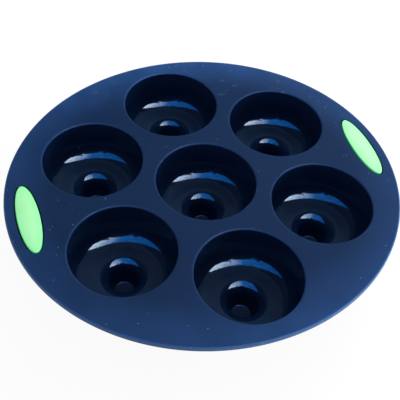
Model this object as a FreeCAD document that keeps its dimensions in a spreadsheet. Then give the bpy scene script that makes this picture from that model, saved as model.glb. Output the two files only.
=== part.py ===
import FreeCAD, Part
import Sketcher
import os

# Soft donut baking mould: an oval deck with seven cups hung under it and a grip let into each end.
# The tray's bottom centre is the origin, +X runs from grip to grip, +Z is up.

# Sizes in millimetres that a designer sets: name, value, meaning
DRIVING_SIZES = [
    ("mouth_radius", 34.5, "cup radius at the deck"),
    ("cup_gap", 11, "deck left between two neighbouring mouths"),
    ("side_margin", 11.5, "deck between a mouth and the edge, on the short axis"),
    ("end_margin", 31.2, "deck between the end cups and the edge, along the long axis"),
    ("deck_thickness", 2.5, "deck away from its edge"),
    ("edge_height", 4, "thickened edge, and the boss under a grip"),
    ("edge_width", 5, "width of the thickened edge"),
    ("edge_round", 1.2, "rounding of the outer edge"),
    ("mouth_round", 1.2, "rounding of a mouth's rim"),
    ("cup_depth", 30.5, "deck top to cup floor"),
    ("cup_taper", 1.5, "radius lost from mouth to floor"),
    ("floor_round", 10.7, "inside rounding between wall and floor"),
    ("cup_wall", 2, "wall of a cup and its well"),
    ("well_depth", 17.5, "cup floor to well floor"),
    ("well_mouth_radius", 10.8, "well radius at the cup floor, before rounding"),
    ("well_taper", 4.2, "radius lost from well mouth to well floor"),
    ("lip_round", 9.5, "rounding from the cup floor over into the well"),
    ("well_floor_round", 0.8, "inside rounding at the well floor"),
    ("grip_length", 56, "grip pad along the edge"),
    ("grip_width", 14.5, "grip pad across the edge"),
    ("grip_margin", 7.25, "deck outside the grip pad"),
    ("grip_crown", 0.8, "grip pad above the deck"),
    ("grip_round", 1.0, "rounding of the grip pad's rim"),
    ("seat_depth", 1.2, "recess that holds the grip pad"),
    ("seat_groove", 0.9, "groove round the grip pad"),
    ("boss_margin", 4, "thick deck left round the grip pad"),
    ("stem_inset", 4, "grip pad overhang past its stem"),
    ("stem_clearance", 0.2, "stem to slot, each side"),
    ("lower_pad_thickness", 1.5, "grip pad under the deck"),
    ("lower_pad_inset", 1, "how far the lower pad stays inside the upper one"),
]

# Sizes that follow from them
DERIVED_SIZES = [
    ("cup_pitch", "=2 * mouth_radius + cup_gap", "centre to centre of neighbouring cups"),
    ("deck_length", "=2 * (cup_pitch * cos(30) + mouth_radius + end_margin)", "grip end to grip end"),
    ("deck_width", "=2 * (cup_pitch + mouth_radius + side_margin)", "across the short axis"),
    ("hollow_length", "=deck_length - 2 * edge_width", "underside hollow inside the thick edge"),
    ("hollow_width", "=deck_width - 2 * edge_width", "underside hollow, short axis"),
    ("hollow_depth", "=edge_height - deck_thickness", "step from the thick edge to the deck"),
    ("floor_radius", "=mouth_radius - cup_taper", "inside radius at the cup floor"),
    ("floor_underside", "=cup_depth + cup_wall", "deck top to the cup's underside"),
    ("outer_mouth_radius", "=mouth_radius + cup_wall", "cup's outside radius under the deck"),
    ("outer_floor_radius", "=floor_radius + cup_wall", "cup's outside radius at its underside"),
    ("outer_floor_round", "=floor_round + cup_wall", "outside rounding of the cup's underside"),
    ("well_floor", "=cup_depth + well_depth", "deck top to well floor"),
    ("well_floor_radius", "=well_mouth_radius - well_taper", "inside radius at the well floor"),
    ("outer_well_mouth", "=well_mouth_radius + cup_wall", "well's outside radius under the cup"),
    ("outer_well_floor", "=well_floor_radius + cup_wall", "well's outside radius at its base"),
    ("outer_lip_round", "=lip_round - cup_wall", "rounding where the well leaves the cup's underside"),
    ("base_round", "=well_floor_round + cup_wall", "outside rounding of the well's base"),
    ("deck_top", "=well_floor + cup_wall", "base of the wells to the top of the deck"),
    ("grip_centre", "=deck_length / 2 - grip_margin - grip_width / 2", "middle of the tray to a grip"),
    ("pad_height", "=seat_depth + grip_crown", "height of the grip's upper pad"),
    ("seat_length", "=grip_length + 2 * seat_groove", "recess for the grip pad, along the edge"),
    ("seat_width", "=grip_width + 2 * seat_groove", "recess for the grip pad, across"),
    ("boss_length", "=seat_length + 2 * boss_margin", "thick deck under a grip, along the edge"),
    ("boss_width", "=seat_width + 2 * boss_margin", "thick deck under a grip, across"),
    ("stem_length", "=grip_length - 2 * stem_inset", "grip stem along the edge"),
    ("stem_width", "=grip_width - 2 * stem_inset", "grip stem across"),
    ("slot_length", "=stem_length + 2 * stem_clearance", "slot for the stem, along the edge"),
    ("slot_width", "=stem_width + 2 * stem_clearance", "slot for the stem, across"),
    ("lower_pad_length", "=grip_length - 2 * lower_pad_inset", "lower pad along the edge"),
    ("lower_pad_width", "=grip_width - 2 * lower_pad_inset", "lower pad across"),
    ("lower_pad_base", "=edge_height + lower_pad_thickness", "deck top to the lower pad's underside"),
]

# Cups on the ring, by their direction from the middle cup, in degrees from +X
RING_CUPS = [
    ("cup_right_back", 30),
    ("cup_back", 90),
    ("cup_left_back", 150),
    ("cup_left_front", 210),
    ("cup_front", 270),
    ("cup_right_front", 330),
]

SAME = 1e-4

doc = FreeCAD.newDocument("donut_mould")
sheet = doc.addObject("Spreadsheet::Sheet", "Sizes")


def fill_sheet():
    """One row per size: its meaning beside its value."""
    for row, (alias, value, meaning) in enumerate(DRIVING_SIZES + DERIVED_SIZES, start=1):
        sheet.set(f"A{row}", meaning)
        sheet.set(f"B{row}", str(value))
        sheet.setAlias(f"B{row}", alias)
    doc.recompute()


def size(alias):
    return float(getattr(sheet, alias))


def bind(thing, target, alias):
    thing.setExpression(target, f"Sizes.{alias}")


def new_body(label):
    """A body whose own zero is the top of the deck."""
    body = doc.addObject("PartDesign::Body", label)
    body.Label = label
    bind(body, "Placement.Base.z", "deck_top")
    return body


def origin_plane(body, role):
    return next(plane for plane in body.Origin.OriginFeatures if plane.Role == role)


def new_sketch(body, name, role="XY_Plane"):
    sketch = body.newObject("Sketcher::SketchObject", name)
    sketch.AttachmentSupport = [(origin_plane(body, role), "")]
    sketch.MapMode = "FlatFace"
    return sketch


def constrain(sketch, kind, *where, alias=None):
    """Adds a constraint, with its value taken from the sheet where an alias is given."""
    if alias is None:
        sketch.addConstraint(Sketcher.Constraint(kind, *where))
        return
    index = sketch.addConstraint(Sketcher.Constraint(kind, *where, size(alias)))
    name = f"{alias}_{index}"
    sketch.renameConstraint(index, name)
    bind(sketch, f"Constraints.{name}", alias)


def ellipse_sketch(body, name, along_x, along_y, centre_x=None):
    """An oval given by its two full widths, on the body's middle or out along +X."""
    sketch = new_sketch(body, name)
    half_x = size(along_x) / 2
    half_y = size(along_y) / 2
    middle = FreeCAD.Vector(size(centre_x) if centre_x else 0, 0, 0)
    end_x = middle + FreeCAD.Vector(half_x, 0, 0)
    end_y = middle + FreeCAD.Vector(0, half_y, 0)
    wide = half_x > half_y
    ends = (end_x, end_y) if wide else (end_y, end_x)
    oval = sketch.addGeometry(Part.Ellipse(*ends, middle))
    sketch.exposeInternalGeometry(oval)
    long_axis = oval + 1
    short_axis = oval + 2
    constrain(sketch, "Horizontal" if wide else "Vertical", long_axis)
    constrain(sketch, "Distance", long_axis, alias=along_x if wide else along_y)
    constrain(sketch, "Distance", short_axis, alias=along_y if wide else along_x)
    if centre_x:
        constrain(sketch, "PointOnObject", oval, 3, -1)
        constrain(sketch, "DistanceX", -1, 1, oval, 3, alias=centre_x)
    else:
        constrain(sketch, "Coincident", oval, 3, -1, 1)
    return sketch


def pad(body, name, sketch, height, down=False):
    feature = body.newObject("PartDesign::Pad", name)
    feature.Profile = sketch
    feature.Reversed = down
    bind(feature, "Length", height)
    doc.recompute()
    return feature


def pocket(body, name, sketch, depth=None, up=False):
    """Cuts down from the sketch, or up, to a depth or right through."""
    before = body.Shape.Volume
    feature = body.newObject("PartDesign::Pocket", name)
    feature.Profile = sketch
    feature.Reversed = up
    if depth is None:
        feature.Type = "ThroughAll"
    else:
        bind(feature, "Length", depth)
    doc.recompute()
    if body.Shape.Volume > before - SAME:
        raise RuntimeError(f"{body.Label}: {name} cuts nothing")
    return feature


def round_edges(body, name, edges, radius):
    """Rounds the named edges of the body as it stands."""
    if not edges:
        raise RuntimeError(f"{body.Label}: {name} finds no edge")
    base = body.Tip
    feature = body.newObject("PartDesign::Fillet", name)
    feature.Base = (base, edges)
    bind(feature, "Radius", radius)
    doc.recompute()
    return feature


def edges_where(body, test):
    return [f"Edge{number}" for number, edge in enumerate(body.Shape.Edges, start=1) if test(edge)]


def circles_at(body, radius, depth):
    """Round edges of a given radius, at a depth under the deck's top."""
    drop = size(depth) if depth else 0
    height = body.Placement.Base.z - drop

    def is_one(edge):
        curve = edge.Curve
        if not isinstance(curve, Part.Circle):
            return False
        return abs(curve.Radius - size(radius)) < SAME and abs(curve.Center.z - height) < SAME

    return edges_where(body, is_one)


def outer_ovals(body):
    """The two edges of the deck's rim."""
    half_length = size("deck_length") / 2

    def is_one(edge):
        return isinstance(edge.Curve, Part.Ellipse) and abs(edge.Curve.MajorRadius - half_length) < SAME

    return edges_where(body, is_one)


def make_deck():
    """Oval plate with a thick edge, seven mouths and a seat for each grip."""
    body = new_body("deck")
    outline = ellipse_sketch(body, "deck_outline", "deck_length", "deck_width")
    pad(body, "deck_plate", outline, "edge_height", down=True)
    hollow = ellipse_sketch(body, "hollow_outline", "hollow_length", "hollow_width")
    bind(hollow, "AttachmentOffset.Base.z", "edge_height * -1")
    pocket(body, "hollow", hollow, "hollow_depth", up=True)

    # The right grip's seat, mirrored to the left end
    boss_outline = ellipse_sketch(body, "boss_outline", "boss_width", "boss_length", "grip_centre")
    boss = pad(body, "seat_boss", boss_outline, "edge_height", down=True)
    seat_outline = ellipse_sketch(body, "seat_outline", "seat_width", "seat_length", "grip_centre")
    seat = pocket(body, "seat", seat_outline, "seat_depth")
    slot_outline = ellipse_sketch(body, "slot_outline", "slot_width", "slot_length", "grip_centre")
    slot = pocket(body, "slot", slot_outline)
    both_ends = body.newObject("PartDesign::Mirrored", "both_ends")
    both_ends.Originals = [boss, seat, slot]
    both_ends.MirrorPlane = (origin_plane(body, "YZ_Plane"), [""])
    body.Tip = both_ends
    doc.recompute()

    # The middle mouth, then one on the ring repeated all round
    middle = new_sketch(body, "middle_mouth_outline")
    circle = middle.addGeometry(Part.Circle(FreeCAD.Vector(), FreeCAD.Vector(0, 0, 1), size("mouth_radius")))
    constrain(middle, "Coincident", circle, 3, -1, 1)
    constrain(middle, "Radius", circle, alias="mouth_radius")
    pocket(body, "middle_mouth", middle)
    ring = new_sketch(body, "ring_mouth_outline")
    place = FreeCAD.Vector(0, size("cup_pitch"), 0)
    circle = ring.addGeometry(Part.Circle(place, FreeCAD.Vector(0, 0, 1), size("mouth_radius")))
    constrain(ring, "PointOnObject", circle, 3, -2)
    constrain(ring, "DistanceY", -1, 1, circle, 3, alias="cup_pitch")
    constrain(ring, "Radius", circle, alias="mouth_radius")
    ring_mouth = pocket(body, "ring_mouth", ring)
    mouths = body.newObject("PartDesign::PolarPattern", "mouths")
    mouths.Originals = [ring_mouth]
    mouths.Axis = (ring, ["N_Axis"])
    mouths.Angle = 360
    mouths.Occurrences = len(RING_CUPS)
    body.Tip = mouths
    doc.recompute()

    rims = circles_at(body, "mouth_radius", None)
    if len(rims) != len(RING_CUPS) + 1:
        raise RuntimeError(f"deck: {len(rims)} mouths")
    round_edges(body, "mouth_rims", rims, "mouth_round")
    round_edges(body, "outer_edge", outer_ovals(body), "edge_round")
    return body


def make_cup(label):
    """A cup turned about its own axis: wall, floor and the well in its middle."""
    body = new_body(label)
    profile = new_sketch(body, f"{label}_profile", "XZ_Plane")
    corners = [
        ("mouth_radius", "deck_thickness"),
        ("floor_radius", "cup_depth"),
        ("well_mouth_radius", "cup_depth"),
        ("well_floor_radius", "well_floor"),
        (None, "well_floor"),
        (None, "deck_top"),
        ("outer_well_floor", "deck_top"),
        ("outer_well_mouth", "floor_underside"),
        ("outer_floor_radius", "floor_underside"),
        ("outer_mouth_radius", "deck_thickness"),
    ]
    points = [FreeCAD.Vector(size(r) if r else 0, -size(depth), 0) for r, depth in corners]
    for start, end in zip(points, points[1:] + points[:1]):
        profile.addGeometry(Part.LineSegment(start, end))
    last = len(corners) - 1
    for line in range(len(corners)):
        constrain(profile, "Coincident", line - 1 if line else last, 2, line, 1)
    for line, (radius, depth) in enumerate(corners):
        constrain(profile, "DistanceY", line, 1, -1, 1, alias=depth)
        if radius:
            constrain(profile, "DistanceX", -1, 1, line, 1, alias=radius)
        else:
            constrain(profile, "PointOnObject", line, 1, -2)
    turned = body.newObject("PartDesign::Revolution", f"{label}_turned")
    turned.Profile = profile
    turned.ReferenceAxis = (profile, ["V_Axis"])
    turned.Angle = 360
    doc.recompute()
    rounds = [
        ("floor_round", "floor_radius", "cup_depth"),
        ("lip_round", "well_mouth_radius", "cup_depth"),
        ("well_floor_round", "well_floor_radius", "well_floor"),
        ("outer_floor_round", "outer_floor_radius", "floor_underside"),
        ("outer_lip_round", "outer_well_mouth", "floor_underside"),
        ("base_round", "outer_well_floor", "deck_top"),
    ]
    for round_size, radius, depth in rounds:
        round_edges(body, f"{label}_{round_size}", circles_at(body, radius, depth), round_size)
    return body


def make_grip(label, side):
    """Upper pad in the deck's seat, stem through the slot, lower pad against the boss."""
    body = new_body(label)
    body.setExpression("Placement.Base.x", f"Sizes.grip_centre * {side}")
    lower = ellipse_sketch(body, f"{label}_lower", "lower_pad_width", "lower_pad_length")
    bind(lower, "AttachmentOffset.Base.z", "lower_pad_base * -1")
    pad(body, f"{label}_lower_pad", lower, "lower_pad_thickness")
    stem = ellipse_sketch(body, f"{label}_stem", "stem_width", "stem_length")
    bind(stem, "AttachmentOffset.Base.z", "lower_pad_base * -1")
    pad(body, f"{label}_stem_post", stem, "lower_pad_base")
    upper = ellipse_sketch(body, f"{label}_upper", "grip_width", "grip_length")
    bind(upper, "AttachmentOffset.Base.z", "seat_depth * -1")
    pad(body, f"{label}_upper_pad", upper, "pad_height")
    top = body.Placement.Base.z + size("grip_crown")
    rim = edges_where(body, lambda edge: edge.BoundBox.ZMin > top - SAME)
    round_edges(body, f"{label}_rim", rim, "grip_round")
    return body


def place_cup(body, angle):
    body.setExpression("Placement.Base.x", f"Sizes.cup_pitch * cos({angle})")
    body.setExpression("Placement.Base.y", f"Sizes.cup_pitch * sin({angle})")


def check(bodies):
    """Stops before anything is written if a feature or a solid failed."""
    for thing in doc.Objects:
        if "Invalid" in thing.State or "Error" in thing.State:
            raise RuntimeError(f"{thing.Label} failed: {thing.State}")
    for body in bodies:
        shape = body.Shape
        if shape.isNull() or not shape.isValid() or len(shape.Solids) != 1:
            raise RuntimeError(f"{body.Label} is not one valid solid")


fill_sheet()
bodies = [make_deck(), make_cup("cup_centre")]
for label, angle in RING_CUPS:
    cup = make_cup(label)
    place_cup(cup, angle)
    bodies.append(cup)
bodies.append(make_grip("grip_left", -1))
bodies.append(make_grip("grip_right", 1))
doc.recompute()
check(bodies)

os.makedirs("parts", exist_ok=True)
for body in bodies:
    body.Shape.exportStep(f"parts/{body.Label}.step")
    box = body.Shape.BoundBox
    print(f"{body.Label}: {body.Shape.Volume / 1000:.2f} cm3, z {box.ZMin:.2f} to {box.ZMax:.2f}")
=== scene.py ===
"""Soft donut baking mould: one navy silicone tray with seven cups, and two mint silicone grips."""

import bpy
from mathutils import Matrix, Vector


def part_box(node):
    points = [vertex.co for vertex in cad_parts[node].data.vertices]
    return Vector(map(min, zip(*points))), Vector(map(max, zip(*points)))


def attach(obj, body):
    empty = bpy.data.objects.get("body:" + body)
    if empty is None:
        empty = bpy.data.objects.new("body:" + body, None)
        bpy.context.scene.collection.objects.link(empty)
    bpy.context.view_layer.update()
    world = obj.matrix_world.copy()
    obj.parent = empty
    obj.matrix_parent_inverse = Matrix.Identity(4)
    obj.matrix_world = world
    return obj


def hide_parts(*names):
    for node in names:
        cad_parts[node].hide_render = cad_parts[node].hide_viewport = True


bl_info = {
    "name": "Donut mould",
    "version": (1, 0, 0),
    "blender": (4, 5, 0),
    "location": "3D View > Sidebar > Donut mould",
    "description": "Models a soft seven-cup donut mould around its packed frame",
    "category": "Add Mesh",
}

import math

import bmesh
import bpy
from bpy.props import FloatProperty, FloatVectorProperty, IntProperty, PointerProperty
from mathutils import Matrix, Vector

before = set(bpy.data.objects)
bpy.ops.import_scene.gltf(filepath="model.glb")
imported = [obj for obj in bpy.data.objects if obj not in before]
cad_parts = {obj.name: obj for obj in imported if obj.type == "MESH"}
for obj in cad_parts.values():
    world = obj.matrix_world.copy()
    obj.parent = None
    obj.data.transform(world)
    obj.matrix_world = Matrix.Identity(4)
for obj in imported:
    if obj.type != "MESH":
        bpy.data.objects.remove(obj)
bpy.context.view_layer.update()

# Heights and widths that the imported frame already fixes
DECK_LOW, DECK_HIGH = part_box("deck")
CUP_LOW, CUP_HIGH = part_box("cup_centre")
GRIP_LOW, GRIP_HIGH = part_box("grip_right")
DECK_TOP = DECK_HIGH.z
DECK_UNDERSIDE = CUP_HIGH.z
EDGE_BASE = DECK_LOW.z
CUP_NODES = sorted(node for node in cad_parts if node.startswith("cup_"))

MERGE_DISTANCE = 1e-6
LEVEL_TOLERANCE = 1e-5
SHARP_ANGLE = math.radians(50)

# Heights of the fine lines round the outer edge, as shares of the way down it
LINE_SHARES = (0.40, 0.62)

# The tray's second material, also given to the grip seats as painted shade, and its vertex attributes: the
# painted reflection in the cups, up to 1 on a floor and CAKED at the bottom of a well, and the painted
# highlight on the mouths' rims
CUP_AND_SEAT_SHADE_FACE = 1
FLOOR_SHEEN_AND_FILM = "floor_sheen_and_film"
CAKED = 2.0
RIM_HIGHLIGHT = "rim_highlight"

# Sockets of a colour mix, and the part of its range that a noise really uses
MIX_FACTOR, MIX_FIRST, MIX_SECOND, MIX_RESULT = 0, 6, 7, 2
NOISE_LOW, NOISE_HIGH = 0.3, 0.7


class TraySizes(bpy.types.PropertyGroup):
    """Sizes of the tray moulding."""

    cup_wall: FloatProperty(
        name="Cup wall", description="Thickness of a cup and its well",
        default=0.002, min=0.0005, unit="LENGTH")
    cup_depth: FloatProperty(
        name="Cup depth", description="Deck top to cup floor", default=0.0305, min=0.01, unit="LENGTH")
    cup_taper: FloatProperty(
        name="Cup taper", description="Radius lost from mouth to floor", default=0.0015, unit="LENGTH")
    mouth_round: FloatProperty(
        name="Mouth rounding", description="Rounding of a mouth's rim", default=0.0012, unit="LENGTH")
    floor_round: FloatProperty(
        name="Floor rounding", description="Inside rounding between wall and floor",
        default=0.0107, unit="LENGTH")
    well_mouth: FloatProperty(
        name="Well mouth", description="Well radius at the cup floor, before rounding",
        default=0.0108, unit="LENGTH")
    well_taper: FloatProperty(
        name="Well taper", description="Radius lost from well mouth to well floor",
        default=0.0042, unit="LENGTH")
    lip_round: FloatProperty(
        name="Lip rounding", description="Rounding from the cup floor over into the well",
        default=0.0095, unit="LENGTH")
    well_floor_round: FloatProperty(
        name="Well floor rounding", description="Inside rounding at the well floor",
        default=0.0008, unit="LENGTH")
    # Bounds of the painted reflection on a cup's floor
    sheen_inner: FloatProperty(
        name="Sheen inner radius", description="Where the painted reflection on a cup's floor starts",
        default=0.0155, unit="LENGTH")
    sheen_outer: FloatProperty(
        name="Sheen outer radius", description="Where the painted reflection on a cup's floor ends",
        default=0.0280, unit="LENGTH")
    # Painted light on the left and painted shade on the right of the floors' painted reflection
    sheen_lean: FloatProperty(
        name="Sheen lean", description="Painted light: how much further the floor's painted reflection reaches on the left, and less on the right",
        default=0.0025, unit="LENGTH")
    sheen_right: FloatProperty(
        name="Sheen on the right", description="Painted shade: strength of the floor's painted reflection on the right, where the left has 1",
        default=0.75, min=0, max=1, subtype="FACTOR")
    root_round: FloatProperty(
        name="Root rounding", description="Rounding where a cup leaves the deck's underside",
        default=0.0008, unit="LENGTH")
    edge_width: FloatProperty(
        name="Edge width", description="Width of the thickened edge", default=0.005, unit="LENGTH")
    edge_round: FloatProperty(
        name="Edge rounding", description="Rounding of the outer edge", default=0.0012, unit="LENGTH")
    line_depth: FloatProperty(
        name="Line depth", description="Depth of the fine lines round the outer edge",
        default=0.0003, unit="LENGTH")
    step_round: FloatProperty(
        name="Step rounding", description="Rounding of the step inside the thickened edge",
        default=0.0005, unit="LENGTH")
    flat_margin: FloatProperty(
        name="Flat margin", description="Flat strip kept beside a rounding",
        default=0.0008, unit="LENGTH")
    seat_depth: FloatProperty(
        name="Seat depth", description="Recess that holds a grip pad", default=0.0012, unit="LENGTH")
    seat_groove: FloatProperty(
        name="Seat groove", description="Groove round a grip pad", default=0.0009, unit="LENGTH")
    seat_round: FloatProperty(
        name="Seat rounding", description="Rounding of the seat's rim", default=0.0003, unit="LENGTH")
    boss_margin: FloatProperty(
        name="Boss margin", description="Thick deck left round a grip pad", default=0.004, unit="LENGTH")
    boss_run_out: FloatProperty(
        name="Boss run-out", description="How gently a boss's ends run out into the thick edge",
        default=0.5, min=0.05)
    turn_steps: IntProperty(
        name="Turning steps", description="Steps in the full turn of a cup", default=96, min=24)
    oval_steps: IntProperty(
        name="Oval steps", description="Steps round the tray's edge", default=288, min=48)


class GripSizes(bpy.types.PropertyGroup):
    """Sizes of a grip."""

    stem_inset: FloatProperty(
        name="Stem inset", description="Pad overhang past the stem", default=0.004, unit="LENGTH")
    stem_clearance: FloatProperty(
        name="Stem clearance", description="Stem to slot, each side", default=0.0002, unit="LENGTH")
    lower_inset: FloatProperty(
        name="Lower pad inset", description="How far the lower pad stays inside the upper one",
        default=0.001, unit="LENGTH")
    rim_height: FloatProperty(
        name="Rim height", description="Pad's rim above the deck", default=0.0004, unit="LENGTH")
    rim_round: FloatProperty(
        name="Rim rounding", description="Rounding of the pad's rim", default=0.0008, unit="LENGTH")
    dome_rings: IntProperty(
        name="Dome rings", description="Rings in the pad's domed top", default=8, min=3)
    oval_steps: IntProperty(
        name="Oval steps", description="Steps round a grip", default=128, min=24)


class MouldFinish(bpy.types.PropertyGroup):
    """Colours of the silicone."""

    deck_navy: FloatVectorProperty(
        name="Deck navy", description="Satin silicone of the deck and the underside",
        default=(0.0031, 0.0172, 0.0560), min=0, max=1, size=3, subtype="COLOR")
    # Painted sheen: the paler colour of the deck towards its outside and its back
    deck_sheen: FloatVectorProperty(
        name="Deck sheen", description="Painted sheen, paler towards the outside and the back of the deck",
        default=(0.012, 0.057, 0.186), min=0, max=1, size=3, subtype="COLOR")
    # Painted highlight: the lighter colour of the outer edge, and in a share of the mouths' rims
    edge_highlight: FloatVectorProperty(
        name="Edge highlight", description="Painted highlight on the outer edge and the mouths' rims",
        default=(0.030, 0.080, 0.190), min=0, max=1, size=3, subtype="COLOR")
    cup_navy: FloatVectorProperty(
        name="Cup navy", description="Glossy silicone inside the cups",
        default=(0.0017, 0.0076, 0.0290), min=0, max=1, size=3, subtype="COLOR")
    # Painted reflection on the cups' floors; the same colour also makes the film caked in the wells
    floor_sheen_and_film: FloatVectorProperty(
        name="Floor sheen and film", description="Painted reflection on the cups' floors, and film caked in the wells",
        default=(0.0128, 0.0275, 0.0610), min=0, max=1, size=3, subtype="COLOR")
    grip_mint: FloatVectorProperty(
        name="Grip mint", description="Satin silicone of the grips",
        default=(0.38, 0.90, 0.42), min=0, max=1, size=3, subtype="COLOR")
    # Painted shade: the deeper mint towards the rim of a grip
    grip_rim_shade: FloatVectorProperty(
        name="Grip rim shade", description="Painted shade, a deeper mint towards the rounded rim of a grip",
        default=(0.06, 0.88, 0.20), min=0, max=1, size=3, subtype="COLOR")
    dust: FloatVectorProperty(
        name="Dust", description="Flour and lint on the silicone",
        default=(0.24, 0.29, 0.38), min=0, max=1, size=3, subtype="COLOR")


class StageSettings(bpy.types.PropertyGroup):
    """Camera and light."""

    camera_place: FloatVectorProperty(
        name="Camera place", description="Where the camera stands",
        default=(-0.1250, -0.2773, 0.3928), size=3, subtype="TRANSLATION", unit="LENGTH")
    camera_turn: FloatVectorProperty(
        name="Camera turn", description="Which way the camera faces",
        default=(math.radians(39.646), math.radians(-3.830), math.radians(-19.130)),
        size=3, subtype="EULER", unit="ROTATION")
    lens: FloatProperty(
        name="Lens", description="Focal length in millimetres", default=60.31, unit="CAMERA")
    floor_white: FloatVectorProperty(
        name="Floor", description="Colour of the floor",
        default=(0.9, 0.9, 0.9), min=0, max=1, size=3, subtype="COLOR")
    ambient: FloatProperty(
        name="Ambient", description="Strength of the even light", default=0.72, min=0)
    key_place: FloatVectorProperty(
        name="Key place", description="Where the key light stands",
        default=(0.42, 0.36, 0.48), size=3, subtype="TRANSLATION", unit="LENGTH")
    key_size: FloatProperty(
        name="Key size", description="Width of the key light", default=0.5, min=0.01, unit="LENGTH")
    key_power: FloatProperty(
        name="Key power", description="Power of the key light", default=4.4, unit="POWER")
    fill_place: FloatVectorProperty(
        name="Fill place", description="Where the low fill light stands",
        default=(0.42, -0.40, 0.035), size=3, subtype="TRANSLATION", unit="LENGTH")
    fill_size: FloatProperty(
        name="Fill size", description="Width of the low fill light", default=0.10, min=0.01, unit="LENGTH")
    fill_power: FloatProperty(
        name="Fill power", description="Power of the low fill light", default=3.8, unit="POWER")
    side_place: FloatVectorProperty(
        name="Side place", description="Where the side light stands",
        default=(0.55, -0.10, 0.085), size=3, subtype="TRANSLATION", unit="LENGTH")
    side_size: FloatProperty(
        name="Side size", description="Width of the side light", default=0.20, min=0.01, unit="LENGTH")
    side_power: FloatProperty(
        name="Side power", description="Power of the side light", default=2.4, unit="POWER")


class MouldSettings(bpy.types.PropertyGroup):
    """All settings of the mould."""

    tray: PointerProperty(type=TraySizes)
    grip: PointerProperty(type=GripSizes)
    finish: PointerProperty(type=MouldFinish)
    stage: PointerProperty(type=StageSettings)


# Mesh helpers

def verts_of(geometry):
    return [item for item in geometry if isinstance(item, bmesh.types.BMVert)]


def edges_between(verts):
    """Edges whose two ends are both in the given vertices."""
    chosen = set(verts)
    return list({edge for vert in chosen for edge in vert.link_edges if chosen.issuperset(edge.verts)})


def round_corner(bm, vert, radius, segments):
    """Rounds one corner of a thin line with an arc of that radius."""
    before, after = (edge.other_vert(vert).co - vert.co for edge in vert.link_edges)
    turn = math.pi - before.angle(after)
    bmesh.ops.bevel(
        bm, geom=[vert], offset=radius * math.tan(turn / 2), offset_type="OFFSET", segments=segments,
        profile=0.5, affect="VERTICES", material=-1, clamp_overlap=False)


def round_ring(bm, edges, radius, segments):
    """Rounds a closed ring of edges."""
    bmesh.ops.bevel(
        bm, geom=edges, offset=radius, offset_type="OFFSET", segments=segments,
        profile=0.5, affect="EDGES", material=-1, clamp_overlap=False)


def turn_profile(bm, corners, steps):
    """Turns a line about the upright axis. A corner is its radius, height, rounding and arc segments."""
    line = [bm.verts.new((radius, 0, height)) for radius, height, _, _ in corners]
    for start, end in zip(line, line[1:]):
        bm.edges.new((start, end))
    for vert, (_, _, rounding, segments) in list(zip(line, corners))[1:-1]:
        round_corner(bm, vert, rounding, segments)
    verts = [vert for vert in bm.verts if not vert.link_faces]
    bmesh.ops.spin(
        bm, geom=verts + edges_between(verts), cent=(0, 0, 0), axis=(0, 0, 1), angle=2 * math.pi,
        steps=steps, use_merge=True)


def ring_of_edges(bm, centre, outline, height, steps):
    """A closed ring whose reach from the centre is a function of the direction."""
    place = Matrix.Translation((centre.x, centre.y, height))
    verts = bmesh.ops.create_circle(bm, segments=steps, radius=1, matrix=place)["verts"]
    shape_ring(verts, centre, outline, height)
    return verts


def shape_ring(verts, centre, outline, height):
    for vert in verts:
        across = (vert.co - centre).to_2d()
        reach = outline(math.atan2(across.y, across.x))
        vert.co = (centre + across.normalized().to_3d() * reach).to_2d().to_3d() + Vector((0, 0, height))


def oval(half_x, half_y):
    """Reach of an oval in a direction, for rings whose vertices keep their directions."""
    return lambda angle: 1 / math.hypot(math.cos(angle) / half_x, math.sin(angle) / half_y)


def band(bm, centre, rings, steps):
    """A band through rings, each an outline and a height; returns the edges of each ring."""
    outline, height = rings[0]
    edges = [edges_between(ring_of_edges(bm, centre, outline, height, steps))]
    for outline, height in rings[1:]:
        made = verts_of(bmesh.ops.extrude_edge_only(bm, edges=edges[-1])["geom"])
        shape_ring(made, centre, outline, height)
        edges.append(edges_between(made))
    return edges


def fill_level(bm, height, up):
    """Closes the flat face that all open rings at one height border."""
    rings = [
        edge for edge in bm.edges
        if edge.is_boundary and all(abs(vert.co.z - height) < LEVEL_TOLERANCE for vert in edge.verts)]
    bmesh.ops.triangle_fill(
        bm, edges=rings, use_beauty=True, use_dissolve=False, normal=(0, 0, 1 if up else -1))


def object_from(name, bm, materials):
    """Makes an object at the origin from a bmesh."""
    mesh = bpy.data.meshes.new(name)
    bm.to_mesh(mesh)
    bm.free()
    for material in materials:
        mesh.materials.append(material)
    made = bpy.data.objects.new(name, mesh)
    bpy.context.scene.collection.objects.link(made)
    return made


def finish_mesh(name, bm, materials):
    """Makes the object of a piece, which has to be closed, from its bmesh."""
    bmesh.ops.remove_doubles(bm, verts=bm.verts, dist=MERGE_DISTANCE)
    bmesh.ops.recalc_face_normals(bm, faces=bm.faces)
    if any(not edge.is_manifold for edge in bm.edges):
        raise RuntimeError(f"{name} is not closed")
    piece = object_from(name, bm, materials)
    piece.data.shade_smooth()
    piece.data.set_sharp_from_angle(angle=SHARP_ANGLE)
    return piece


# Shader helpers

def fill_socket(tree, socket, value):
    """Links a socket to another one, or sets it to a plain value."""
    if isinstance(value, bpy.types.NodeSocket):
        tree.links.new(value, socket)
    else:
        socket.default_value = value


def add_node(tree, kind, inputs=None, **settings):
    """Adds a shader node with its settings and inputs."""
    made = tree.nodes.new(kind)
    for name, value in settings.items():
        setattr(made, name, value)
    for key, value in (inputs or {}).items():
        fill_socket(tree, made.inputs[key], value)
    return made


def add_math(tree, operation, *values):
    return add_node(tree, "ShaderNodeMath", dict(enumerate(values)), operation=operation).outputs[0]


def add_product(tree, first, *others):
    """Multiplies values one after the other."""
    for value in others:
        first = add_math(tree, "MULTIPLY", first, value)
    return first


def add_vector(tree, operation, *values):
    return add_node(tree, "ShaderNodeVectorMath", dict(enumerate(values)), operation=operation).outputs


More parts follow.
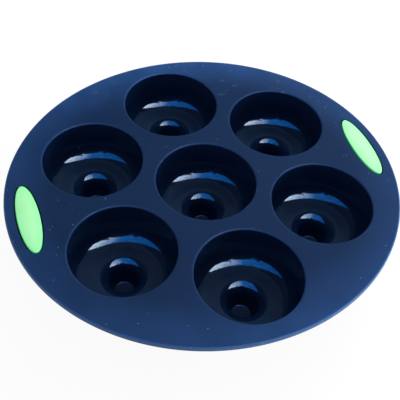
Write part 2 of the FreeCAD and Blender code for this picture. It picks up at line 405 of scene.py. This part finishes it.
def split_vector(tree, vector):
    return add_node(tree, "ShaderNodeSeparateXYZ", {0: vector}).outputs


def add_mix(tree, factor, first, second):
    """A mix of two colours, each a socket or three numbers."""
    mix = add_node(tree, "ShaderNodeMix", {MIX_FACTOR: factor}, data_type="RGBA")
    for key, colour in ((MIX_FIRST, first), (MIX_SECOND, second)):
        linked = isinstance(colour, bpy.types.NodeSocket)
        fill_socket(tree, mix.inputs[key], colour if linked else opaque(colour))
    return mix.outputs[MIX_RESULT]


def add_span(tree, value, low, high, to_low=0.0, to_high=1.0):
    """Maps one range to another, held at its ends."""
    span = {"Value": value, "From Min": low, "From Max": high, "To Min": to_low, "To Max": to_high}
    return add_node(tree, "ShaderNodeMapRange", span, clamp=True).outputs["Result"]


def spread_noise(tree, noise, to_low=0.0, to_high=1.0):
    """Spreads the part of the range that a noise really uses."""
    return add_span(tree, noise, NOISE_LOW, NOISE_HIGH, to_low, to_high)


def add_noise(tree, vector, scale, detail):
    noise = {"Vector": vector, "Scale": scale, "Detail": detail}
    return add_node(tree, "ShaderNodeTexNoise", noise).outputs["Fac"]


def add_mapping(tree, vector, **inputs):
    labelled = {label.capitalize(): value for label, value in inputs.items()}
    return add_node(tree, "ShaderNodeMapping", {"Vector": vector, **labelled}).outputs[0]


def add_attribute(tree, name):
    return add_node(tree, "ShaderNodeAttribute", attribute_name=name).outputs["Fac"]


def object_coords(tree):
    return add_node(tree, "ShaderNodeTexCoord").outputs["Object"]


def opaque(colour):
    return (*colour, 1.0)


def mottled_colour(tree, noise, colour, darker, lighter):
    """One colour that a noise makes a little darker and lighter."""
    colour = Vector(colour)
    return add_mix(tree, spread_noise(tree, noise), colour * darker, colour * lighter)


def new_group(name, inputs, outputs):
    """An empty shader node group with float sockets."""
    group = bpy.data.node_groups.new(name, "ShaderNodeTree")
    for label, default in inputs.items():
        socket = group.interface.new_socket(label, in_out="INPUT", socket_type="NodeSocketFloat")
        socket.default_value = default
    for label in outputs:
        group.interface.new_socket(label, in_out="OUTPUT", socket_type="NodeSocketFloat")
    return group, add_node(group, "NodeGroupInput").outputs, add_node(group, "NodeGroupOutput").inputs


def use_group(tree, name, **inputs):
    made = add_node(tree, "ShaderNodeGroup", node_tree=bpy.data.node_groups[name])
    for label, value in inputs.items():
        made.inputs[label.replace("_", " ").capitalize()].default_value = value
    return made.outputs


def make_grain_group():
    """Fine moulded grain, and a slow mottle from handling."""
    group, given, result = new_group(
        "moulded_grain", {"Grain scale": 2600.0, "Mottle scale": 55.0}, ["Height", "Mottle"])
    coords = object_coords(group)
    fine = add_noise(group, coords, given["Grain scale"], detail=3.0)
    slow = add_noise(group, coords, given["Mottle scale"], detail=4.0)
    group.links.new(fine, result["Height"])
    group.links.new(slow, result["Mottle"])


def make_dust_group():
    """Scattered specks of flour and lint: each cell may hold one round speck."""
    group, given, result = new_group(
        "dust_specks", {"Cell scale": 190.0, "Share": 0.12, "Size": 0.10}, ["Mask"])
    coords = object_coords(group)
    cells = add_node(group, "ShaderNodeTexVoronoi", {"Vector": coords, "Scale": given["Cell scale"]})
    chance = add_node(group, "ShaderNodeSeparateColor", {"Color": cells.outputs["Color"]}).outputs
    held = add_math(group, "LESS_THAN", chance["Red"], given["Share"])
    size = add_product(group, given["Size"], chance["Green"])
    speck = add_math(group, "LESS_THAN", cells.outputs["Distance"], size)
    strength = add_product(group, speck, chance["Blue"])
    group.links.new(add_product(group, held, strength), result["Mask"])


def make_oval_group():
    """Where a point lies on the tray: how far out, how far to a long side or to the back, and if on top."""
    group, _, result = new_group("oval_place", {}, ["Reach", "Side", "Back", "Top"])
    coords = object_coords(group)
    spot = add_vector(group, "MULTIPLY", coords, (1 / DECK_HIGH.x, 1 / DECK_HIGH.y, 0))["Vector"]
    height = split_vector(group, coords)["Z"]
    places = {
        "Reach": add_vector(group, "LENGTH", spot)["Value"],
        "Side": add_math(group, "ABSOLUTE", split_vector(group, spot)["Y"]),
        "Back": add_vector(group, "DOT_PRODUCT", spot, TOWARDS_BACK)["Value"],
        "Top": add_math(group, "GREATER_THAN", height, DECK_UNDERSIDE + LEVEL_TOLERANCE),
    }
    for label, value in places.items():
        group.links.new(value, result[label])


def new_material(name):
    material = bpy.data.materials.new(name)
    material.use_nodes = True
    return material, material.node_tree, material.node_tree.nodes["Principled BSDF"]


def bump(tree, shader, height, distance):
    made = add_node(tree, "ShaderNodeBump", {"Height": height, "Distance": distance, "Strength": 1.0})
    tree.links.new(made.outputs["Normal"], shader.inputs["Normal"])


def set_surface(tree, made):
    tree.links.new(made.outputs[0], tree.nodes["Material Output"].inputs["Surface"])


def mix_shaders(tree, factor, first, second):
    return add_node(tree, "ShaderNodeMixShader", {0: factor, 1: first.outputs[0], 2: second.outputs[0]})


def emit(tree, colour, strength=1.0):
    return add_node(tree, "ShaderNodeEmission", {"Color": colour, "Strength": strength})


# Looks of the deck. A span is a range of places and the two strengths that it maps to.
TOWARDS_BACK = (0.3, 0.95, 0)
SHEEN_PATCH_STRENGTHS = (0.75, 1.1)
# Painted sheen: the deck is paler along its long sides and towards its outside, more so towards the back
SIDE_SHEEN = (0.60, 1.0, 0.0, 0.38)
ROUND_SHEEN = (0.78, 1.0, 0.0, 0.42)
SHEEN_TO_BACK = (-1.0, 1.0, 0.7, 1.5)
# Painted highlight on the outermost edge, and the share of it on the mouths' rims
EDGE_HIGHLIGHT = (0.990, 0.997)
RIM_HIGHLIGHT_SHARE = 0.12
SMEAR_STRETCH = (1.0, 2.4, 1.0)
SCUFF_STRENGTHS = (0.64, 0.80, 0.0, 0.4)
SCUFFED_BACK = (0.45, 0.85)
SATIN_ROUGHNESS = (0.40, 0.50)


def deck_satin(finish):
    """Satin navy silicone: fine grain, painted sheen paler outwards, painted highlights on edge and rims,
    dust, a few scuffs.
    """
    material, tree, shader = new_material("deck_satin")
    grain = use_group(tree, "moulded_grain", grain_scale=2600.0, mottle_scale=55.0)
    specks = use_group(tree, "dust_specks", cell_scale=400.0, share=0.30, size=0.14)
    place = use_group(tree, "oval_place")
    mottled = mottled_colour(tree, grain["Height"], finish.deck_navy, darker=0.85, lighter=1.15)
    # Painted sheen, in slow patches, along the long sides and round the outside, stronger at the back
    sheen_patches = spread_noise(tree, grain["Mottle"], *SHEEN_PATCH_STRENGTHS)
    sheen_along_sides = add_span(tree, place["Side"], *SIDE_SHEEN)
    sheen_all_round = add_product(
        tree, add_span(tree, place["Reach"], *ROUND_SHEEN), add_span(tree, place["Back"], *SHEEN_TO_BACK))
    painted_sheen = add_product(tree, add_math(tree, "ADD", sheen_along_sides, sheen_all_round), sheen_patches, place["Top"])
    sheened = add_mix(tree, painted_sheen, mottled, finish.deck_sheen)
    # Painted highlight on the outer edge and on the mouths' rims
    lit_edges = add_mix(tree, add_span(tree, place["Reach"], *EDGE_HIGHLIGHT), sheened, finish.edge_highlight)
    rim_lit = add_product(tree, add_attribute(tree, RIM_HIGHLIGHT), RIM_HIGHLIGHT_SHARE)
    lit_edges = add_mix(tree, rim_lit, lit_edges, finish.edge_highlight)
    dusted = add_mix(tree, specks["Mask"], lit_edges, finish.dust)
    smears = add_noise(
        tree, add_mapping(tree, object_coords(tree), scale=SMEAR_STRETCH), scale=110.0, detail=6.0)
    scuffs = add_product(
        tree, add_span(tree, smears, *SCUFF_STRENGTHS), add_span(tree, place["Back"], *SCUFFED_BACK),
        place["Top"])
    tree.links.new(add_mix(tree, scuffs, dusted, finish.dust), shader.inputs["Base Color"])
    tree.links.new(spread_noise(tree, grain["Mottle"], *SATIN_ROUGHNESS), shader.inputs["Roughness"])
    shader.inputs["Specular IOR Level"].default_value = 0.22
    bump(tree, shader, grain["Height"], distance=0.00004)
    return material


# Looks of the cups. The lighter tone on the floors is a painted reflection, and where a film is caked at the
# bottom of a well it is thinner, but rougher.
SHEEN_AND_FILM_STRENGTHS = (0.7, 1.0)
CAKED_COVER = 0.25
CAKED_ROUGHNESS = 0.25
GLOSS_ROUGHNESS = (0.06, 0.10)


def cup_gloss(finish):
    """Polished navy silicone with a painted reflection on the cups' floors and a caked film in the wells."""
    material, tree, shader = new_material("cup_gloss")
    grain = use_group(tree, "moulded_grain", grain_scale=700.0, mottle_scale=90.0)
    specks = use_group(tree, "dust_specks", cell_scale=260.0, share=0.05, size=0.10)
    # Painted reflection on the floors, and a caked film at the bottoms of the wells
    sheen_and_film = add_attribute(tree, FLOOR_SHEEN_AND_FILM)
    cover = add_product(
        tree, add_span(tree, sheen_and_film, 0.0, 1.0), add_span(tree, sheen_and_film, 1.0, CAKED, 1.0, CAKED_COVER),
        spread_noise(tree, grain["Mottle"], *SHEEN_AND_FILM_STRENGTHS))
    mottled = mottled_colour(tree, grain["Mottle"], finish.cup_navy, darker=0.9, lighter=1.1)
    toned = add_mix(tree, cover, mottled, finish.floor_sheen_and_film)
    tree.links.new(add_mix(tree, specks["Mask"], toned, finish.dust), shader.inputs["Base Color"])
    gloss = spread_noise(tree, grain["Mottle"], *GLOSS_ROUGHNESS)
    caked = add_span(tree, sheen_and_film, 1.0, CAKED, 0.0, CAKED_ROUGHNESS)
    tree.links.new(add_math(tree, "ADD", gloss, caked), shader.inputs["Roughness"])
    bump(tree, shader, grain["Height"], distance=0.000002)
    return material


# Heights between which a grip's colour deepens towards its rim, as painted shade
PLAIN_MINT, SHADED_RIM_MINT = DECK_TOP + 0.00062, DECK_TOP - 0.0003


def grip_satin(finish):
    """Satin mint silicone with a fine grain, and painted shade: deeper green towards the upper pad's rim."""
    material, tree, shader = new_material("grip_satin")
    grain = use_group(tree, "moulded_grain", grain_scale=2200.0, mottle_scale=70.0)
    specks = use_group(tree, "dust_specks", cell_scale=210.0, share=0.05, size=0.10)
    mottled = mottled_colour(tree, grain["Mottle"], finish.grip_mint, darker=0.96, lighter=1.02)
    height = split_vector(tree, object_coords(tree))["Z"]
    upper_pad = add_math(tree, "GREATER_THAN", height, DECK_UNDERSIDE)
    # Painted shade: deeper green lower down, towards the rim
    rim = add_product(tree, add_span(tree, height, PLAIN_MINT, SHADED_RIM_MINT), upper_pad)
    rim_shaded = add_mix(tree, rim, mottled, finish.grip_rim_shade)
    tree.links.new(add_mix(tree, specks["Mask"], rim_shaded, finish.dust), shader.inputs["Base Color"])
    tree.links.new(spread_noise(tree, grain["Mottle"], *SATIN_ROUGHNESS), shader.inputs["Roughness"])
    bump(tree, shader, grain["Height"], distance=0.00003)
    return material


# Looks of the stage. Places across the room run from -1 to 1, and the window's sill and head are angles above
# the level. The room is mirrored once as it is, and as a plain haze in reflections of reflections.
WHITE = (1, 1, 1, 1)
FLOOR_GLOW = 0.92
FLOOR_DROP = 0.0003
FLOOR_HALF_WIDTH = 6
ROOM_RADIUS = 4
ROOM_BASE = -0.05
WINDOW_SILL = (-0.6, 0.8, math.radians(22), math.radians(52))
WINDOW_HEAD = (-0.7, 0.1, math.radians(66), math.radians(82))
WINDOW_SIDE = math.sin(math.radians(65))
RAGGED_SILL = (math.radians(-12), math.radians(12))
SKY_SIDES = (-0.9, 0.9)
SKY_FIRST = (0.0, (0.0014, 0.050, 0.21, 1))
SKY_MIDDLE = (0.58, (0.010, 0.108, 0.38, 1))
SKY_LAST = (0.97, (0.61, 0.79, 1.0, 1))
SKY_STRENGTH = 22.0
STREAK_STRETCH = (0.35, 1.4, 1.4)
STREAK_STRENGTHS = (0.38, 0.62, 0.35, 1.1)
ROOM_DIM = (0.04, 0.08, 0.16, 1)
ROOM_HAZE = (0.12, 0.35, 0.80, 1)
MIRRORED_TWICE = 1.5


def seen_directly(tree):
    """1 for what the camera sees, also mirrored or through clear pieces, and 0 for light on a piece."""
    path = add_node(tree, "ShaderNodeLightPath").outputs
    mirrored = add_math(tree, "MAXIMUM", path["Is Glossy Ray"], path["Is Transmission Ray"])
    return add_math(tree, "MAXIMUM", path["Is Camera Ray"], mirrored)


def floor_plain(colour):
    """Pale floor, white to the camera and in reflections, with the object's shadow kept."""
    material, tree, shader = new_material("floor_plain")
    shader.inputs["Base Color"].default_value = opaque(colour)
    shader.inputs["Roughness"].default_value = 0.9
    share = add_product(tree, seen_directly(tree), FLOOR_GLOW)
    set_surface(tree, mix_shaders(tree, share, shader, emit(tree, WHITE)))
    return material


def room_glow(camera_place):
    """What the polished cups mirror: a dim room with one bright window behind the camera."""
    material, tree, shader = new_material("room_glow")
    turn = math.atan2(camera_place.x, -camera_place.y)
    faced = add_mapping(tree, object_coords(tree), rotation=(0, 0, -turn))
    direction = add_vector(tree, "NORMALIZE", faced)["Vector"]
    part = split_vector(tree, direction)
    rise = add_math(tree, "ARCTAN2", part["Z"], add_product(tree, part["Y"], -1.0))
    ragged = spread_noise(tree, add_noise(tree, direction, scale=6.0, detail=6.0), *RAGGED_SILL)
    sill = add_math(tree, "ADD", add_span(tree, part["X"], *WINDOW_SILL), ragged)
    window = add_product(
        tree, add_math(tree, "GREATER_THAN", rise, sill),
        add_math(tree, "LESS_THAN", rise, add_span(tree, part["X"], *WINDOW_HEAD)),
        add_math(tree, "LESS_THAN", add_math(tree, "ABSOLUTE", part["X"]), WINDOW_SIDE))
    sky = add_node(tree, "ShaderNodeValToRGB", {"Fac": add_span(tree, part["X"], *SKY_SIDES)})
    stops = sky.color_ramp.elements
    for stop, (place, colour) in zip(stops, (SKY_FIRST, SKY_LAST)):
        stop.position = place
        stop.color = colour
    place, colour = SKY_MIDDLE
    stops.new(place).color = colour
    drawn_out = add_mapping(tree, direction, scale=STREAK_STRETCH)
    streaks = add_span(tree, add_noise(tree, drawn_out, scale=16.0, detail=4.0), *STREAK_STRENGTHS)
    lit = emit(tree, sky.outputs[0], add_product(tree, streaks, SKY_STRENGTH))
    once = mix_shaders(tree, window, emit(tree, ROOM_DIM), lit)
    depth = add_node(tree, "ShaderNodeLightPath").outputs["Glossy Depth"]
    again = add_math(tree, "GREATER_THAN", depth, MIRRORED_TWICE)
    set_surface(tree, mix_shaders(tree, again, once, emit(tree, ROOM_HAZE)))
    tree.nodes.remove(shader)
    return material


# Shapes shared by the tray and the grips

def plan_centre(node):
    """Middle of a node's box as seen from above."""
    low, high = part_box(node)
    return ((low + high) / 2).to_2d().to_3d()


def grip_halves():
    """Half length and half width of a grip's upper pad, as seen from above."""
    return (GRIP_HIGH.x - GRIP_LOW.x) / 2, (GRIP_HIGH.y - GRIP_LOW.y) / 2


def hollow_reach(tray, inset):
    """Reach of the hollow underneath: an oval inside the thick edge, cut short by the grips' bosses."""
    half_x = DECK_HIGH.x - tray.edge_width - inset
    half_y = DECK_HIGH.y - tray.edge_width - inset
    pad_x, pad_y = grip_halves()
    boss_x = pad_x + tray.seat_groove + tray.boss_margin + inset
    boss_y = pad_y + tray.seat_groove + tray.boss_margin + inset
    grip_centre = (GRIP_LOW.x + GRIP_HIGH.x) / 2
    plain = oval(half_x, half_y)

    def reach(angle):
        along = abs(math.cos(angle)) / boss_x
        across = math.sin(angle) / boss_y
        middle = grip_centre / boss_x
        square = along * along + across * across
        inside = (along * middle) ** 2 - square * (middle * middle - 1)
        boss = (along * middle - math.sqrt(max(inside, 0))) / square
        past_end = min(max(-inside, 0) / (tray.boss_run_out * square), 1)
        return min(plain(angle), boss + (plain(angle) - boss) * past_end)

    return reach


def cup_profiles(tray):
    """Corners of a cup's inside and outside, from the deck to the middle of the well, for turn_profile."""
    outer_mouth = CUP_HIGH.x
    wall = tray.cup_wall
    mouth = outer_mouth - wall
    floor = DECK_TOP - tray.cup_depth
    well_floor = CUP_LOW.z + wall
    floor_radius = mouth - tray.cup_taper
    well_base = tray.well_mouth - tray.well_taper
    rim = mouth + tray.mouth_round + tray.flat_margin
    root = outer_mouth + tray.root_round + tray.flat_margin
    inside = [
        (rim, DECK_TOP, 0, 0),
        (mouth, DECK_TOP, tray.mouth_round, 5),
        (floor_radius, floor, tray.floor_round, 14),
        (tray.well_mouth, floor, tray.lip_round, 12),
        (well_base, well_floor, tray.well_floor_round, 4),
        (0, well_floor, 0, 0),
    ]
    outside = [
        (root, DECK_UNDERSIDE, 0, 0),
        (outer_mouth, DECK_UNDERSIDE, tray.root_round, 4),
        (floor_radius + wall, floor - wall, tray.floor_round + wall, 12),
        (tray.well_mouth + wall, floor - wall, tray.lip_round - wall, 10),
        (well_base + wall, CUP_LOW.z, tray.well_floor_round + wall, 6),
        (0, CUP_LOW.z, 0, 0),
    ]
    return inside, outside


class DONUT_OT_mould_tray(bpy.types.Operator):
    """Mould the navy tray: deck, thick edge, seven cups and the two grip seats in one skin"""

    bl_idname = "donut.mould_tray"
    bl_label = "Mould tray"

    def execute(self, context):
        settings = context.scene.donut_mould
        tray = settings.tray
        grip = settings.grip
        bm = bmesh.new()
        bm.verts.layers.float.new(FLOOR_SHEEN_AND_FILM)
        bm.verts.layers.float.new(RIM_HIGHLIGHT)
        self.add_cups(bm, tray)
        self.add_edge(bm, tray)
        self.add_seats(bm, tray, grip)
        bmesh.ops.remove_doubles(bm, verts=bm.verts, dist=MERGE_DISTANCE)
        for height, up in ((DECK_TOP, True), (DECK_UNDERSIDE, False), (EDGE_BASE, False)):
            fill_level(bm, height, up)
        piece = finish_mesh("tray", bm, [deck_satin(settings.finish), cup_gloss(settings.finish)])
        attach(piece, "root")
        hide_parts("deck", *CUP_NODES)
        return {"FINISHED"}

    def add_cups(self, bm, tray):
        """Turns the middle cup once and copies it to the other places."""
        inside, outside = cup_profiles(tray)
        turn_profile(bm, inside, tray.turn_steps)
        sheen_and_film = bm.verts.layers.float[FLOOR_SHEEN_AND_FILM]
        rim_highlight_layer = bm.verts.layers.float[RIM_HIGHLIGHT]
        for vert in bm.verts:
            # Painted highlight on the upper half of each mouth's rounding
            vert[rim_highlight_layer] = DECK_TOP - tray.mouth_round / 2 < vert.co.z < DECK_TOP - LEVEL_TOLERANCE
            # Painted reflection on the floor, reaching further and stronger on the left: painted light from
            # the right
            on_floor = vert.co.z < DECK_TOP - tray.cup_depth + tray.floor_round / 2
            radius = vert.co.to_2d().length
            lean = -vert.co.x / max(radius, MERGE_DISTANCE)
            toned = on_floor and tray.sheen_inner < radius < tray.sheen_outer + lean * tray.sheen_lean
            vert[sheen_and_film] = toned * (1 - (1 - tray.sheen_right) * (1 - lean) / 2)
            if vert.co.z < CUP_LOW.z + tray.cup_wall + tray.well_floor_round / 2:
                vert[sheen_and_film] = CAKED
        for face in bm.faces:
            if face.calc_center_median().z < DECK_TOP - tray.mouth_round:
                face.material_index = CUP_AND_SEAT_SHADE_FACE
        turn_profile(bm, outside, tray.turn_steps)
        middle = bm.verts[:] + bm.edges[:] + bm.faces[:]
        for node in CUP_NODES:
            if node != "cup_centre":
                copy = bmesh.ops.duplicate(bm, geom=middle)["geom"]
                bmesh.ops.translate(bm, verts=verts_of(copy), vec=plan_centre(node))

    def add_edge(self, bm, tray):
        """Adds the lined outer edge, and the step from the thick edge to the hollow underneath."""
        half_x, half_y = DECK_HIGH.x, DECK_HIGH.y
        rounded = tray.edge_round + tray.flat_margin
        stepped = tray.step_round + tray.flat_margin
        side = oval(half_x, half_y)
        cut = oval(half_x - tray.line_depth, half_y - tray.line_depth)
        lines = []
        for share in LINE_SHARES:
            height = DECK_TOP + (EDGE_BASE - DECK_TOP) * share
            lines += [(side, height + tray.line_depth), (cut, height), (side, height - tray.line_depth)]
        rings = band(bm, Vector(), [
            (oval(half_x - rounded, half_y - rounded), DECK_TOP),
            (side, DECK_TOP),
            *lines,
            (side, EDGE_BASE),
            (oval(half_x - rounded, half_y - rounded), EDGE_BASE),
        ], tray.oval_steps)
        for ring in (rings[1], rings[-2]):
            round_ring(bm, ring, tray.edge_round, segments=5)
        step = band(bm, Vector(), [
            (hollow_reach(tray, -stepped), EDGE_BASE),
            (hollow_reach(tray, 0), EDGE_BASE),
            (hollow_reach(tray, 0), DECK_UNDERSIDE),
            (hollow_reach(tray, stepped), DECK_UNDERSIDE),
        ], tray.oval_steps)
        for ring in step[1:3]:
            round_ring(bm, ring, tray.step_round, segments=3)

    def add_seats(self, bm, tray, grip):
        """Adds the two recessed seats and the slots through them."""
        pad_x, pad_y = grip_halves()
        seat_x, seat_y = pad_x + tray.seat_groove, pad_y + tray.seat_groove
        rim = tray.seat_round + tray.flat_margin
        slot = grip.stem_inset - grip.stem_clearance
        seat_floor = DECK_TOP - tray.seat_depth
        for node in ("grip_left", "grip_right"):
            rings = band(bm, plan_centre(node), [
                (oval(seat_x + rim, seat_y + rim), DECK_TOP),
                (oval(seat_x, seat_y), DECK_TOP),
                (oval(seat_x, seat_y), seat_floor),
                (oval(pad_x - slot, pad_y - slot), seat_floor),
                (oval(pad_x - slot, pad_y - slot), EDGE_BASE),
            ], grip.oval_steps)
            # The seat's walls, floor and slot get the darker cup material: painted shade in the groove round
            # a grip
            for face in {face for ring in rings[2:] for edge in ring for face in edge.link_faces}:
                face.material_index = CUP_AND_SEAT_SHADE_FACE
            round_ring(bm, rings[1], tray.seat_round, segments=3)


class DONUT_OT_press_grips(bpy.types.Operator):
    """Press the two mint grips into their seats: domed pad, stem and lower pad"""

    bl_idname = "donut.press_grips"
    bl_label = "Press grips"

    def execute(self, context):
        settings = context.scene.donut_mould
        mint = grip_satin(settings.finish)
        for side in ("left", "right"):
            piece = self.press(f"{side}_grip", f"grip_{side}", settings.tray, settings.grip, mint)
            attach(piece, "root")
            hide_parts(f"grip_{side}")
        return {"FINISHED"}

    def press(self, name, node, tray, grip, mint):
        """Makes one grip, from its lower pad up through the stem to the domed upper pad."""
        low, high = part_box(node)
        pad_x, pad_y = grip_halves()
        lower_x, lower_y = pad_x - grip.lower_inset, pad_y - grip.lower_inset
        stem_x, stem_y = pad_x - grip.stem_inset, pad_y - grip.stem_inset
        seat_floor = DECK_TOP - tray.seat_depth
        rim_top = DECK_TOP + grip.rim_height
        inner = grip.rim_round + tray.flat_margin
        lower_flat = tray.step_round + tray.flat_margin
        sides = [
            (oval(lower_x - lower_flat, lower_y - lower_flat), low.z),
            (oval(lower_x, lower_y), low.z),
            (oval(lower_x, lower_y), EDGE_BASE),
            (oval(stem_x, stem_y), EDGE_BASE),
            (oval(stem_x, stem_y), seat_floor),
            (oval(pad_x, pad_y), seat_floor),
            (oval(pad_x, pad_y), rim_top),
        ]
        dome = []
        for step in range(grip.dome_rings):
            share = 1 - step / grip.dome_rings
            rise = (high.z - rim_top) * (1 - share * share)
            dome.append((oval((pad_x - inner) * share, (pad_y - inner) * share), rim_top + rise))
        bm = bmesh.new()
        edges = band(bm, plan_centre(node), sides + dome, grip.oval_steps)
        for ends in (edges[0], edges[-1]):
            bmesh.ops.triangle_fill(bm, edges=ends, use_beauty=True, use_dissolve=False)
        round_ring(bm, edges[len(sides) - 1], grip.rim_round, segments=5)
        round_ring(bm, edges[1], tray.step_round, segments=3)
        return finish_mesh(name, bm, [mint])


class DONUT_OT_set_stage(bpy.types.Operator):
    """Set the pale floor, the soft light and the camera"""

    bl_idname = "donut.set_stage"
    bl_label = "Set stage"

    def execute(self, context):
        stage = context.scene.donut_mould.stage
        self.add_floor(stage)
        self.add_room(stage)
        self.add_lights(context, stage)
        self.add_camera(context, stage)
        context.scene.view_settings.view_transform = "Standard"
        return {"FINISHED"}

    def add_stage_mesh(self, name, bm, material):
        obj = object_from(name, bm, [material])
        return obj

    def add_floor(self, stage):
        bm = bmesh.new()
        bmesh.ops.create_grid(
            bm, x_segments=1, y_segments=1, size=FLOOR_HALF_WIDTH,
            matrix=Matrix.Translation((0, 0, -FLOOR_DROP)))
        self.add_stage_mesh("floor", bm, floor_plain(stage.floor_white))

    def add_room(self, stage):
        """Adds a half dome that only reflections see."""
        bm = bmesh.new()
        bmesh.ops.create_uvsphere(bm, u_segments=48, v_segments=24, radius=ROOM_RADIUS)
        bmesh.ops.bisect_plane(
            bm, geom=bm.verts[:] + bm.edges[:] + bm.faces[:], plane_co=(0, 0, ROOM_BASE), plane_no=(0, 0, 1),
            clear_inner=True)
        room = self.add_stage_mesh("mirrored_room", bm, room_glow(Vector(stage.camera_place)))
        for kind in ("camera", "diffuse", "transmission", "volume_scatter", "shadow"):
            setattr(room, f"visible_{kind}", False)

    def add_lights(self, context, stage):
        world = bpy.data.worlds.new("even_light")
        world.use_nodes = True
        tree = world.node_tree
        back = tree.nodes["Background"]
        back.inputs["Color"].default_value = WHITE
        strength = add_span(tree, seen_directly(tree), 0.0, 1.0, stage.ambient, 1.0)
        tree.links.new(strength, back.inputs["Strength"])
        context.scene.world = world
        self.add_lamp(context, "key", stage.key_place, stage.key_size, stage.key_power)
        self.add_lamp(context, "fill", stage.fill_place, stage.fill_size, stage.fill_power)
        self.add_lamp(context, "side", stage.side_place, stage.side_size, stage.side_power)

    def add_lamp(self, context, name, place, size, power):
        """A soft lamp that faces the mould and isn't mirrored in it."""
        light = bpy.data.lights.new(name, "AREA")
        light.energy = power
        light.size = size
        lamp = bpy.data.objects.new(name, light)
        lamp.location = place
        lamp.rotation_mode = "QUATERNION"
        lamp.rotation_quaternion = (-lamp.location).to_track_quat("-Z", "Y")
        lamp.visible_glossy = False
        context.scene.collection.objects.link(lamp)

    def add_camera(self, context, stage):
        data = bpy.data.cameras.new("camera")
        data.lens = stage.lens
        camera = bpy.data.objects.new("camera", data)
        camera.location = stage.camera_place
        camera.rotation_euler = stage.camera_turn
        context.scene.collection.objects.link(camera)
        context.scene.camera = camera


class DONUT_PT_mould(bpy.types.Panel):
    """Lists the steps and sizes of the mould"""

    bl_idname = "DONUT_PT_mould"
    bl_label = "Donut mould"
    bl_space_type = "VIEW_3D"
    bl_region_type = "UI"
    bl_category = "Donut mould"

    def draw(self, context):
        settings = context.scene.donut_mould
        for operator in OPERATORS:
            self.layout.operator(operator.bl_idname)
        for label in ("tray", "grip", "finish", "stage"):
            group = getattr(settings, label)
            column = self.layout.column(heading=label.capitalize())
            for name in group.__annotations__:
                column.prop(group, name)


OPERATORS = (DONUT_OT_mould_tray, DONUT_OT_press_grips, DONUT_OT_set_stage)
CLASSES = (TraySizes, GripSizes, MouldFinish, StageSettings, MouldSettings, *OPERATORS, DONUT_PT_mould)


def register():
    for cls in CLASSES:
        bpy.utils.register_class(cls)
    bpy.types.Scene.donut_mould = PointerProperty(type=MouldSettings)


def unregister():
    del bpy.types.Scene.donut_mould
    for cls in reversed(CLASSES):
        bpy.utils.unregister_class(cls)


def main():
    register()
    make_grain_group()
    make_dust_group()
    make_oval_group()
    bpy.ops.donut.mould_tray()
    bpy.ops.donut.press_grips()
    bpy.ops.donut.set_stage()


if __name__ == "__main__":
    main()
